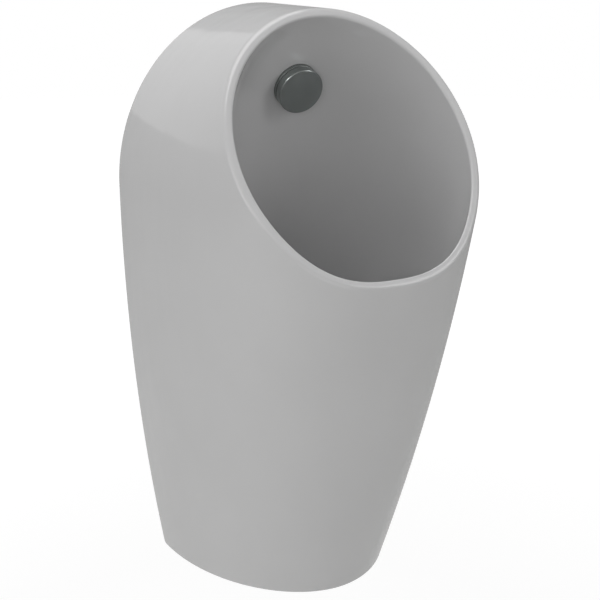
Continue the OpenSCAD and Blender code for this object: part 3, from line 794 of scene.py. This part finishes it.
tail_thread = (tail_chamfer - tail_l, 0.001 - back_seat, tail_pitch)
stem_bm = turned([
    (0, flange_top, 0), (waterway_r, flange_top, 0),
    (waterway_r, -tail_l, 0.0004), (tail_r - tail_chamfer, -tail_l, 0)]
    + thread_rows(tail_r, *tail_thread) + [
    (tail_r, spray_seal_t, 0), (spray_r, spray_seal_t, 0.0004), (spray_r, flange_top, 0.0006),
    (spigot_r, flange_top, 0.0003), (spigot_r, spigot_top - 0.0012, 0.0002),
    (spigot_r - 0.001, spigot_top, 0.0002), (0, spigot_top, 0)])
cut_thread(stem_bm, tail_r, *tail_thread, tail_thread_depth)
ports = []
for angle in (45, 90, 135):
    port = rod(port_r, port_start, 2 * spigot_r, 24)
    ports.append((port, Matrix.Rotation(math.radians(angle), 4, "Z")
                  @ Matrix.Translation((0, 0, (flange_top + cap_base) / 2))
                  @ Matrix.Rotation(-math.pi / 2, 4, "Y")))
stem_bm = combined("DIFFERENCE", stem_bm, gathered(*ports))
nozzle_stem = new_object("nozzle_stem", stem_bm, plating_painted_dark, place=spray_place)
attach(nozzle_stem, "urinal")
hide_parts("spray_body")

bm = washer(spray_r - 0.001, tail_r + fit_gap, 0, spray_seal_t)
nozzle_front_washer = new_object("nozzle_front_washer", bm, black_rubber, place=spray_place)
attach(nozzle_front_washer, "urinal")
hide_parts("spray_front_seal")

bm = washer(back_seal_r, tail_r + fit_gap, -back_seat - spray_seal_t, -back_seat)
nozzle_back_washer = new_object("nozzle_back_washer", bm, black_rubber, place=spray_place)
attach(nozzle_back_washer, "urinal")
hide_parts("spray_back_seal")

nut_high = -back_seat - spray_seal_t
nut_low = nut_high - backnut_t
bm = hex_nut(backnut_r, [(tail_r + thread_gap, nut_low, 0.0006), (tail_r + thread_gap, nut_high, 0.0006)],
             nut_low, nut_high)
nozzle_nut = new_object("nozzle_nut", bm, turned_brass, place=spray_place)
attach(nozzle_nut, "urinal")
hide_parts("spray_backnut")


# Inlet: a chromed copper pipe with a forged elbow, held to the spray head's tail by a brass union
# nut over a fibre-backed rubber washer. It runs through a grommet in the web into the wall, where
# a turned groove marks the wall's face. None of it shows from the front.
inlet_r = 0.0075
inlet_bore_r = 0.006
inlet_seal_t = 0.002
inlet_collar_t = 0.003
inlet_reach = 0.040
union_low = -0.052
union_high = -0.035
mark_w = 0.001
mark_depth = 0.0004
grommet_lip_r = 0.0165
pipe_start = -tail_l - inlet_seal_t
inlet_chrome = new_metal("inlet_chrome", (0.66, 0.67, 0.68, 1), (0.55, 0.56, 0.57, 1), 0.09)

union_grip_r = tail_r + thread_gap
bm = hex_nut(backnut_r, [
    (inlet_r + fit_gap, union_low, 0.0004), (inlet_r + fit_gap, union_low + 0.003, 0),
    (union_grip_r, union_low + 0.003, 0), (union_grip_r, union_high, 0.0006)], union_low, union_high)
union_nut = new_object("union_nut", bm, turned_brass, place=spray_place)
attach(union_nut, "urinal")
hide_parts("inlet_nut")

bm = washer(tail_r - fit_gap, inlet_bore_r, pipe_start, -tail_l)
union_washer = new_object("union_washer", bm, black_rubber, place=spray_place)
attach(union_washer, "urinal")
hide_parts("inlet_seal")

wall_at = -elbow.y
pipe_end = wall_at + inlet_reach
bend_r = 0.020
bend_half = bend_r * spray_tilt / 2
bend_reach = bend_r * math.tan(spray_tilt / 2)
swell = 0.002
swell_half = 0.007
inlet_stub = elbow_reach - inlet_seal_t


def along_pipe(s):
    """Middle of the pipe and its slope, at a distance from the elbow."""
    if s > bend_half:
        return elbow + Vector((0, bend_reach + s - bend_half, 0)), 0
    if s < -bend_half:
        back = s + bend_half - bend_reach
        return elbow + back * Vector((0, math.cos(spray_tilt), math.sin(spray_tilt))), spray_tilt
    slope = (bend_half - s) / bend_r
    bend_middle = elbow + Vector((0, bend_reach, -bend_r))
    return bend_middle + bend_r * Vector((0, -math.sin(slope), math.cos(slope))), slope


swollen = []
for i in range(-14, 15):
    share = i / 14
    swollen.append((inlet_r + swell * (1 - share ** 2) ** 2, swell_half * share, 0))
pipe_rows = []
for corner in eased([
        (inlet_bore_r, -inlet_stub, 0.0003), (tail_r - fit_gap, -inlet_stub, 0.0003),
        (tail_r - fit_gap, inlet_collar_t - inlet_stub, 0.0004),
        (inlet_r, inlet_collar_t - inlet_stub, 0.0006)]
        + swollen + [
        (inlet_r, wall_at - mark_w, 0), (inlet_r - mark_depth, wall_at - mark_w, 0),
        (inlet_r - mark_depth, wall_at, 0), (inlet_r, wall_at, 0), (inlet_r, pipe_end, 0.0003),
        (inlet_bore_r, pipe_end, 0.0003)]
        + [(inlet_bore_r, swell_half * i / 7, 0) for i in range(7, -8, -1)]):
    middle, slope = along_pipe(corner.z)
    pipe_rows.append([middle + corner.x * Vector((
        math.cos(a), -math.sin(a) * math.sin(slope), math.sin(a) * math.cos(slope)))
        for a in (math.tau * i / 64 for i in range(64))])
bm = lofted(pipe_rows, around=True)
supply_pipe = new_object("supply_pipe", bm, inlet_chrome)
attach(supply_pipe, "urinal")
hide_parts("inlet_pipe")

bm = turned([
    (inlet_r + fit_gap, web_back, 0.0006), (inlet_hole_r, web_back, 0.001), (inlet_hole_r, web_front, 0),
    (grommet_lip_r, web_front, 0.0004), (grommet_lip_r, web_front + 0.003, 0.001),
    (inlet_r + fit_gap, web_front + 0.003, 0.0006)], 64)
supply_grommet = new_object("supply_grommet", bm, black_rubber,
                            place=Matrix.Translation((0, 0, elbow.z)) @ away_from_wall)
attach(supply_grommet, "urinal")
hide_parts("inlet_collar")


# Waste: a stainless flange with a threaded tube through the sump, bedded on a rubber gasket, and
# below the china a gasket, a steel washer and a moulded nut with grip lugs that clamp it.
outlet_place = Matrix.Translation((0, -outlet_y, 0))
flange_r = 0.041
flange_z = 0.1816
flange_top_z = 0.1842
waste_r = 0.0255
waste_bore_r = 0.0229
waste_low_z = 0.1256
waste_pitch = 0.00231
waste_thread_depth = 0.0011
insert_seat_r = 0.0303
insert_seat_t = 0.0014
gasket_t = 0.0016
waste_washer_r = 0.039
washer_low_z = 0.1652
waste_nut_r = 0.034
waste_nut_t = 0.010
lug_count = 8
lug_size = (0.004, 0.006)
lug_ease = 0.0007
lug_stand = 0.001
brushed_steel = new_metal(
    "brushed_steel", (0.50, 0.51, 0.52, 1), (0.41, 0.42, 0.43, 1), 0.20, (1, 1, 12), 0.00003)
white_plastic = new_polymer("white_moulding", (0.72, 0.72, 0.70, 1), (0.66, 0.66, 0.63, 1), 0.34)


def lugged_nut(outline, r, low, high):
    """A turned nut with grip lugs round it."""
    lugs = []
    for i in range(lug_count):
        lug = bmesh.new()
        size = Matrix.Diagonal((*lug_size, high - low, 1))
        place = Matrix.Translation((r + lug_stand, 0, (low + high) / 2))
        bmesh.ops.create_cube(lug, size=1, matrix=place @ size)
        bmesh.ops.bevel(lug, geom=lug.edges[:], offset=lug_ease, segments=2, profile=0.5,
                        affect="EDGES", material=-1)
        lugs.append((lug, Matrix.Rotation(math.tau * i / lug_count, 4, "Z")))
    return combined("UNION", turned(outline), gathered(*lugs))


bm = washer(flange_r - 0.001, outlet_r, sump_floor_z, flange_z)
waste_bed = new_object("waste_bed", bm, black_rubber, place=outlet_place)
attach(waste_bed, "urinal")
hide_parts("waste_top_gasket")

waste_thread = (waste_low_z + 0.0015, washer_low_z - 0.001, waste_pitch)
bm = turned([
    (waste_bore_r, waste_low_z, 0.0004), (waste_r - 0.001, waste_low_z, 0)]
    + thread_rows(waste_r, *waste_thread) + [
    (waste_r, flange_z, 0.0006), (flange_r, flange_z, 0.0004), (flange_r, flange_top_z, 0.0009),
    (insert_seat_r, flange_top_z, 0.0003), (insert_seat_r, flange_top_z - insert_seat_t, 0),
    (waste_bore_r, flange_top_z - insert_seat_t, 0.0005)], 128)
cut_thread(bm, waste_r, *waste_thread, waste_thread_depth)
waste_fitting = new_object("waste_fitting", bm, brushed_steel, place=outlet_place)
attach(waste_fitting, "urinal")
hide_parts("waste_flange")

bm = washer(waste_washer_r, waste_r + fit_gap, outlet_under_z - gasket_t, outlet_under_z)
waste_under_ring = new_object("waste_under_ring", bm, black_rubber, place=outlet_place)
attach(waste_under_ring, "urinal")
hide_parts("waste_bottom_gasket")

bm = washer(waste_washer_r, waste_r + fit_gap, washer_low_z, outlet_under_z - gasket_t, 0.0002)
waste_plate = new_object("waste_plate", bm, brushed_steel, place=outlet_place)
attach(waste_plate, "urinal")
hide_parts("waste_washer")

nut_bore_r = waste_r + thread_gap
nut_low = washer_low_z - waste_nut_t
bm = lugged_nut([
    (nut_bore_r, nut_low, 0.0006), (waste_nut_r, nut_low, 0.0008), (waste_nut_r, washer_low_z, 0.0008),
    (nut_bore_r, washer_low_z, 0.0006)], waste_nut_r, nut_low, washer_low_z)
waste_nut = new_object("waste_nut", bm, white_plastic, place=outlet_place)
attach(waste_nut, "urinal")
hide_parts("waste_backnut")


# Strainer: a pressed stainless dome with three rings of punched holes, and a turned knob that is
# riveted through its middle. It lies loose on the flange of the waste and lifts out by the knob.
strainer_r = 0.038
strainer_t = 0.0016
strainer_top_z = 0.192
strainer_hole_r = 0.0025
strainer_rings = (0.32, 0.54, 0.76)
knob_r = 0.006
knob_h = 0.007
shank_r = 0.0025
strainer_rise = strainer_top_z - flange_top_z - strainer_t
dome_r = (strainer_r ** 2 + strainer_rise ** 2) / (2 * strainer_rise)


def dome_line(r_low, r_high, top):
    """Corners along the dome from one radius to another, under a top of its own."""
    radii = [mix(r_low, r_high, i / 10) for i in range(11)]
    return [(r, top - dome_r + math.sqrt(dome_r ** 2 - r ** 2), 0) for r in radii]


bore = shank_r + thread_gap
under_r = math.sqrt(dome_r ** 2 - (dome_r - strainer_rise + strainer_t) ** 2)
bm = turned(dome_line(bore, strainer_r, strainer_top_z) + [
    (strainer_r, flange_top_z, 0.0004), (strainer_r - 2 * strainer_t, flange_top_z, 0.0004),
    (strainer_r - 2 * strainer_t, flange_top_z + strainer_t, 0)]
    + dome_line(under_r, bore, strainer_top_z - strainer_t), 144)
punches = []
for k, share in enumerate(strainer_rings):
    count = 6 * (k + 1)
    for i in range(count):
        punch = rod(strainer_hole_r, flange_top_z, strainer_top_z + overcut, 24)
        punches.append((punch, Matrix.Rotation(math.tau * i / count, 4, "Z")
                        @ Matrix.Translation((strainer_r * share, 0, 0))))
bm = combined("DIFFERENCE", bm, gathered(*punches))
strainer_dome = new_object("strainer_dome", bm, brushed_steel, place=outlet_place)
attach(strainer_dome, "strainer")
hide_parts("strainer")

shank_low = strainer_top_z - strainer_t - shank_r
knob_top = strainer_top_z + knob_h
bm = turned([
    (0, shank_low, 0), (shank_r, shank_low, 0.0006), (shank_r, strainer_top_z, 0),
    (knob_r - 0.001, strainer_top_z, 0), (knob_r, strainer_top_z + 0.001, 0.0006),
    (knob_r, knob_top - 0.002, 0.0012), (knob_r - 0.002, knob_top, 0.0008), (0, knob_top, 0)], 64)
lift_knob = new_object("lift_knob", bm, brushed_steel, place=outlet_place)
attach(lift_knob, "strainer")
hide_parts("strainer_knob")


# Trap insert: a moulded dip tube with a collar that rests in the flange of the waste, and a band
# with a groove for the rubber ring that seals it in the tube. It lifts out through the bowl.
dip_r = 0.019
dip_bore_r = 0.0172
dip_z = 0.062
insert_collar_r = 0.030
band_r = 0.0223
band_low_z = 0.1476
band_h = 0.010
groove_r = 0.0203
ring_r = 0.00125
groove_half = ring_r + fit_gap / 2
band_middle_z = band_low_z + band_h / 2
band_high_z = band_low_z + band_h
groove_low = band_middle_z - groove_half
groove_high = band_middle_z + groove_half
collar_z = flange_top_z - insert_seat_t
bm = turned([
    (dip_bore_r, dip_z, 0.0004), (dip_r, dip_z, 0.0005),
    (dip_r, band_low_z, 0.0006), (band_r, band_low_z, 0.0008), (band_r, groove_low, 0.0003),
    (groove_r, groove_low, 0.0002), (groove_r, groove_high, 0.0002), (band_r, groove_high, 0.0003),
    (band_r, band_high_z, 0.0008), (dip_r, band_high_z, 0.0006), (dip_r, collar_z, 0.001),
    (insert_collar_r, collar_z, 0.0003), (insert_collar_r, flange_top_z, 0.0006),
    (dip_bore_r, flange_top_z, 0.0008)])
dip_tube = new_object("dip_tube", bm, white_plastic, place=outlet_place)
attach(dip_tube, "insert")
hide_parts("trap_insert")

bm = turned([(groove_r + ring_r + ring_r * math.cos(a), band_middle_z + ring_r * math.sin(a), 0)
             for a in (math.tau * i / 20 for i in range(20))])
dip_tube_ring = new_object("dip_tube_ring", bm, black_rubber, place=outlet_place)
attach(dip_tube_ring, "insert")
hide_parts("insert_seal")


# Trap: a moulded cup that hangs on the waste tube by a lugged nut and a rubber ring, with a
# branch and a socket for the outlet pipe. A plug with a hexagon socket, flutes round its head and
# a rubber ring closes the cup from below, and unscrews for cleaning.
trap_r = 0.042
trap_wall = 0.003
trap_z = 0.038
cup_top_z = 0.118
neck_r = 0.0315
neck_z = 0.1446
outlet_z = 0.088
pipe_r = 0.025
branch_r = 0.022
branch_bore_r = 0.020
branch_root_r = 0.0275
branch_start = 0.028
taper_start = 0.036
taper_end = 0.047
socket_r = 0.0305
socket_start = 0.060
socket_end = 0.095
trap_nut_r = 0.036
trap_nut_lip = 0.003
trap_nut_h = 0.018
trap_seal_t = 0.003
seal_low = 0.081
seal_high = 0.087
seal_groove_r = 0.0275
plug_r = 0.015
plug_head_r = 0.020
plug_head_t = 0.008
plug_pitch = 0.002
plug_thread_depth = 0.0008
flute_count = 12
flute_r = 0.0022
flute_reach = 0.0213
plug_seal_t = 0.0016
plug_hole_r = plug_r + thread_gap
branch_place = Matrix.Translation((0, 0, outlet_z)) @ Matrix.Rotation(-math.pi / 2, 4, "X")

cup = turned([
    (0, trap_z, 0), (trap_r, trap_z, 0.004), (trap_r, cup_top_z, 0.003), (neck_r, cup_top_z, 0.0015),
    (neck_r, neck_z, 0.0006), (0, neck_z, 0)])
branch = turned([
    (0, branch_start, 0), (branch_root_r, branch_start, 0), (branch_root_r, taper_start, 0.002),
    (branch_r, taper_end, 0.004), (branch_r, socket_start, 0.001), (socket_r, socket_start, 0.0015),
    (socket_r, socket_end, 0.001), (0, socket_end, 0)])
branch.transform(branch_place)
hollow = turned([
    (0, trap_z - overcut, 0), (plug_hole_r, trap_z - overcut, 0), (plug_hole_r, trap_z + trap_wall, 0.0003),
    (trap_r - trap_wall, trap_z + trap_wall, 0.002), (trap_r - trap_wall, cup_top_z - trap_wall, 0.002),
    (waste_bore_r, cup_top_z - trap_wall, 0.0005), (waste_bore_r, waste_low_z, 0),
    (waste_r + fit_gap, waste_low_z, 0), (waste_r + fit_gap, neck_z + overcut, 0), (0, neck_z + overcut, 0)])
grip_r = pipe_r + fit_gap
branch_hollow = turned([
    (0, 0, 0), (branch_bore_r, 0, 0), (branch_bore_r, socket_start + trap_wall, 0.0005),
    (grip_r, socket_start + trap_wall, 0), (grip_r, seal_low, 0), (seal_groove_r, seal_low, 0.0004),
    (seal_groove_r, seal_high, 0.0004), (grip_r, seal_high, 0), (grip_r, socket_end + overcut, 0),
    (0, socket_end + overcut, 0)])
branch_hollow.transform(branch_place)
bm = combined("DIFFERENCE", combined("UNION", cup, branch), hollow, branch_hollow)
trap_cup = new_object("trap_cup", bm, white_plastic, place=outlet_place)
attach(trap_cup, "urinal")
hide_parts("trap_body")

nut_top = neck_z + trap_seal_t + trap_nut_lip
nut_low = nut_top - trap_nut_h
nut_grip_r = neck_r + thread_gap
bm = lugged_nut([
    (nut_grip_r, nut_low, 0.0006), (trap_nut_r, nut_low, 0.0008), (trap_nut_r, nut_top, 0.0015),
    (waste_r + fit_gap, nut_top, 0.0006), (waste_r + fit_gap, nut_top - trap_nut_lip, 0),
    (nut_grip_r, nut_top - trap_nut_lip, 0)], trap_nut_r, nut_low, nut_top)
trap_ring_nut = new_object("trap_ring_nut", bm, white_plastic, place=outlet_place)
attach(trap_ring_nut, "urinal")
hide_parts("trap_nut")

bm = washer(neck_r - fit_gap, waste_r + thread_gap, neck_z, neck_z + trap_seal_t, 0.0005)
trap_ring = new_object("trap_ring", bm, black_rubber, place=outlet_place)
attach(trap_ring, "urinal")
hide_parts("trap_nut_seal")

head_z = trap_z - plug_seal_t
plug_low = head_z - plug_head_t
plug_high = trap_z + trap_wall + 0.001
plug_thread = (head_z + 0.0008, plug_high - 0.0008, plug_pitch)
plug = turned([
    (0, plug_low, 0), (plug_head_r, plug_low, 0.0012), (plug_head_r, head_z, 0.0006), (plug_r, head_z, 0)]
    + thread_rows(plug_r, *plug_thread) + [
    (plug_r - 0.0006, plug_high, 0), (0, plug_high, 0)])
cut_thread(plug, plug_r, *plug_thread, plug_thread_depth)
cuts = [(hexagon(plug_r - 2 * trap_wall, plug_low - overcut, plug_low + plug_head_t - trap_wall), Matrix())]
for i in range(flute_count):
    flute = rod(flute_r, plug_low - overcut, head_z - 0.0015, 24)
    turn = Matrix.Rotation(math.tau * (i + 0.5) / flute_count, 4, "Z")
    cuts.append((flute, turn @ Matrix.Translation((flute_reach, 0, 0))))
bm = combined("DIFFERENCE", plug, gathered(*cuts))
rodding_plug = new_object("rodding_plug", bm, white_plastic, place=outlet_place)
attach(rodding_plug, "plug")
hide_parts("cleaning_plug")

bm = washer(plug_head_r - 0.001, plug_hole_r, head_z, trap_z)
rodding_plug_ring = new_object("rodding_plug_ring", bm, black_rubber, place=outlet_place)
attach(rodding_plug_ring, "plug")
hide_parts("plug_seal")


# Outlet: an extruded grey drain pipe from the trap's socket into the wall, its rubber lip ring in
# the socket's groove, and a rubber collar round it against the wall. A groove marks the wall.
outlet_wall_t = 0.002
outlet_reach = 0.045
collar_t = 0.008
collar_rim = 0.009
pipe_place = outlet_place @ branch_place
pipe_low = socket_start + trap_wall
pipe_high = outlet_y + outlet_reach
mark_low = outlet_y - mark_w
bm = turned([
    (pipe_r - outlet_wall_t, pipe_low, 0), (pipe_r - 0.0012, pipe_low, 0.0002),
    (pipe_r, pipe_low + 0.004, 0.0005), (pipe_r, mark_low, 0), (pipe_r - mark_depth, mark_low, 0),
    (pipe_r - mark_depth, outlet_y, 0), (pipe_r, outlet_y, 0), (pipe_r, pipe_high, 0.0003),
    (pipe_r - outlet_wall_t, pipe_high, 0.0003)])
drain_pipe = new_object("drain_pipe", bm, grey_plastic, place=pipe_place)
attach(drain_pipe, "urinal")
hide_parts("outlet_pipe")

bm = washer(seal_groove_r - thread_gap, pipe_r, seal_low + thread_gap, seal_high - thread_gap, 0.0009)
drain_lip_ring = new_object("drain_lip_ring", bm, black_rubber, place=pipe_place)
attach(drain_lip_ring, "urinal")
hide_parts("outlet_seal")

bm = turned([
    (pipe_r, outlet_y - collar_t, 0.001), (pipe_r + 0.0025, outlet_y - collar_t, 0.001),
    (pipe_r + 0.004, outlet_y - 0.004, 0.001), (pipe_r + collar_rim, outlet_y - 0.0028, 0.0009),
    (pipe_r + collar_rim, mark_low, 0.0003), (pipe_r, mark_low, 0.0003)])
drain_collar = new_object("drain_collar", bm, black_rubber, place=pipe_place)
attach(drain_collar, "urinal")
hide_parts("outlet_collar")


# Hangers: two zinc-plated steel plates for the wall, each with a welded threaded stud. The web
# hangs on the studs in white plastic bushes, held by a washer and a hexagon nut on each.
plate_w = 0.030
plate_t = 0.005
plate_low_z = 0.497
plate_high_z = 0.587
plate_corner_r = 0.003
plate_edge_r = 0.0005
screw_hole_r = 0.0045
screw_spacing = 0.060
stud_r = 0.004
stud_l = 0.042
stud_pitch = 0.00125
stud_thread_depth = 0.0006
weld_r = 0.0015
bush_rim_r = 0.011
bush_front = 0.0205
stud_washer_r = 0.012
stud_washer_t = 0.0016
stud_nut_r = 0.0076
stud_nut_t = 0.0065
zinc = new_metal("zinc", (0.47, 0.475, 0.47, 1), (0.36, 0.37, 0.38, 1), 0.26)
stud_places = [Matrix.Translation((x, 0, stud_z)) @ away_from_wall for x in (-stud_x, stud_x)]

for side, name, node in (
        (-1, "left_hanger_plate", "hanger_plate_left"), (1, "right_hanger_plate", "hanger_plate_right")):
    middle_z = (plate_low_z + plate_high_z) / 2
    place = Matrix.Translation((side * stud_x, -plate_t / 2, middle_z))
    plate = bmesh.new()
    plate_size = Matrix.Diagonal((plate_w, plate_t, plate_high_z - plate_low_z, 1))
    bmesh.ops.create_cube(plate, size=1, matrix=place @ plate_size)
    for upright, offset, segments in ((True, plate_corner_r, 5), (False, plate_edge_r, 2)):
        edges = [e for e in plate.edges
                 if (abs(e.verts[0].co.y - e.verts[1].co.y) > plate_t / 2) == upright]
        bmesh.ops.bevel(plate, geom=edges, offset=offset, segments=segments, profile=0.5,
                        affect="EDGES", material=-1)
    drills = []
    for z in (middle_z - screw_spacing / 2, middle_z + screw_spacing / 2):
        drill = rod(screw_hole_r, -overcut, plate_t + overcut, 48)
        drills.append((drill, Matrix.Translation((side * stud_x, 0, z)) @ away_from_wall))
    bm = combined("DIFFERENCE", plate, gathered(*drills))
    wall_plate = new_object(name, bm, zinc)
    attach(wall_plate, "urinal")
    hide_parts(node)

studs = []
stud_end = plate_t + stud_l
stud_thread = (plate_t + 0.003, stud_end - 0.001, stud_pitch)
for place in stud_places:
    bm = turned([
        (0, plate_t, 0), (stud_r + weld_r, plate_t, 0), (stud_r, plate_t + weld_r, 0.0004)]
        + thread_rows(stud_r, *stud_thread) + [(stud_r - 0.001, stud_end, 0), (0, stud_end, 0)], 48)
    cut_thread(bm, stud_r, *stud_thread, stud_thread_depth)
    studs.append((bm, place))
threaded_studs = new_object("threaded_studs", gathered(*studs), zinc)
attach(threaded_studs, "urinal")
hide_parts("hanger_studs")

bushes = []
for place in stud_places:
    bm = turned([
        (stud_r + thread_gap, web_back, 0.0003), (stud_hole_r - thread_gap, web_back, 0.0005),
        (stud_hole_r - thread_gap, web_front, 0), (bush_rim_r, web_front, 0.0003),
        (bush_rim_r, bush_front, 0.0008), (stud_r + thread_gap, bush_front, 0.0003)], 64)
    bushes.append((bm, place))
sleeve_bushes = new_object("sleeve_bushes", gathered(*bushes), white_plastic)
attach(sleeve_bushes, "urinal")
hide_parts("stud_bushes")

washer_end = bush_front + stud_washer_t
washers = [(washer(stud_washer_r, stud_r + thread_gap, bush_front, washer_end, 0.0002, 64), place)
           for place in stud_places]
flat_washers = new_object("flat_washers", gathered(*washers), zinc)
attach(flat_washers, "urinal")
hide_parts("hanger_washers")

nut_end = washer_end + stud_nut_t
bore = [(stud_r + thread_gap, washer_end, 0.0004), (stud_r + thread_gap, nut_end, 0.0004)]
nuts = [(hex_nut(stud_nut_r, bore, washer_end, nut_end), place) for place in stud_places]
hex_nuts = new_object("hex_nuts", gathered(*nuts), zinc)
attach(hex_nuts, "urinal")
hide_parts("hanger_nuts")
